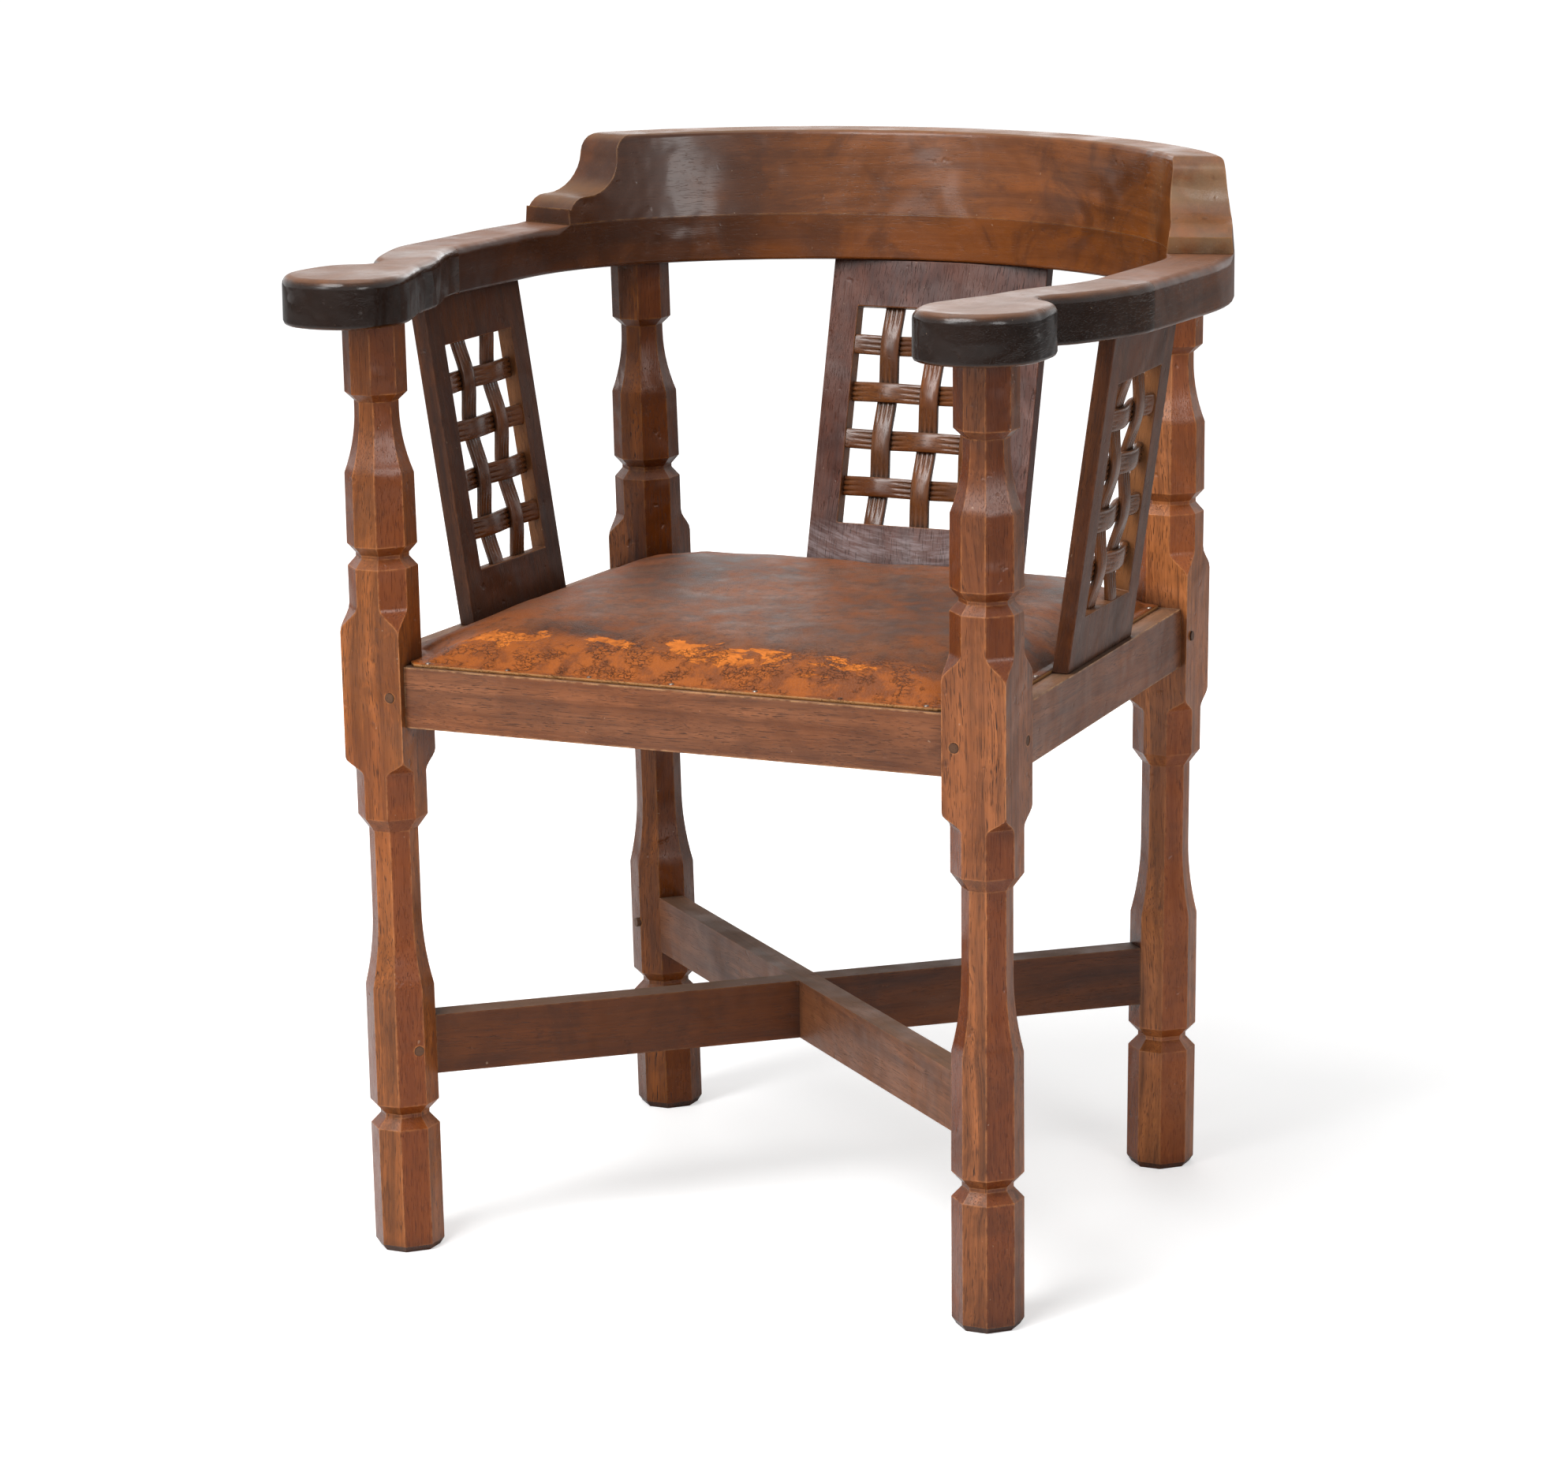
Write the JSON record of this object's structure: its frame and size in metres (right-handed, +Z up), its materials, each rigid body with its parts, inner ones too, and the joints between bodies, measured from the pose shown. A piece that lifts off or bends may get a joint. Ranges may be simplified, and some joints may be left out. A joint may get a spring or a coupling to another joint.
{
  "type": "chair",
  "caption": "Armchair of faceted oak legs with a horseshoe of arms and crest, woven lattice panels, crossed stretchers and a leather seat.",
  "frame": {"origin": "on the floor, under the middle of the bounding box", "axes": "the chair faces -Y, +X is to the right of someone who looks at its front, +Z is up"},
  "size_m": [0.5984, 0.5858, 0.776],
  "materials": {
    "leg_oak": "waxed reddish brown oak",
    "rail_oak": "waxed brown oak",
    "stretcher_oak": "dark waxed oak with dusty tops",
    "arm_oak": "very dark polished oak, paler on the worn tops",
    "bow_oak": "dark polished oak",
    "crest_oak": "warm brown polished oak with ray flecks",
    "panel_oak": "purplish brown carved oak",
    "seat_leather": "aged brown leather, worn orange along the front",
    "stuffing": "matt fibre",
    "webbing": "matt jute",
    "peg_oak": "dark end grain",
    "inner_oak": "raw oak",
    "nail_steel": "dull dark steel"
  },
  "bodies": {
    "root": {"front_left_leg": "leg_oak", "front_right_leg": "leg_oak", "rear_right_leg": "leg_oak", "rear_left_leg": "leg_oak", "front_seat_rail": "rail_oak", "right_seat_rail": "rail_oak", "rear_seat_rail": "rail_oak", "left_seat_rail": "rail_oak", "lower_stretcher": "stretcher_oak", "upper_stretcher": "stretcher_oak", "back_bow": "bow_oak", "right_arm": "arm_oak", "left_arm": "arm_oak", "crest_rail": "crest_oak", "right_panel": "panel_oak", "left_panel": "panel_oak", "back_panel": "panel_oak", "seat_leather": "seat_leather", "seat_stuffing": "stuffing", "cross_webbing": "webbing", "long_webbing": "webbing", "webbing_tacks": "nail_steel", "rail_pegs": "peg_oak", "stretcher_pegs": "peg_oak", "crossing_nails": "nail_steel", "crest_dowels": "inner_oak", "splice_tongues": "inner_oak", "leather_nails": "nail_steel"}
  },
  "joints": []
}
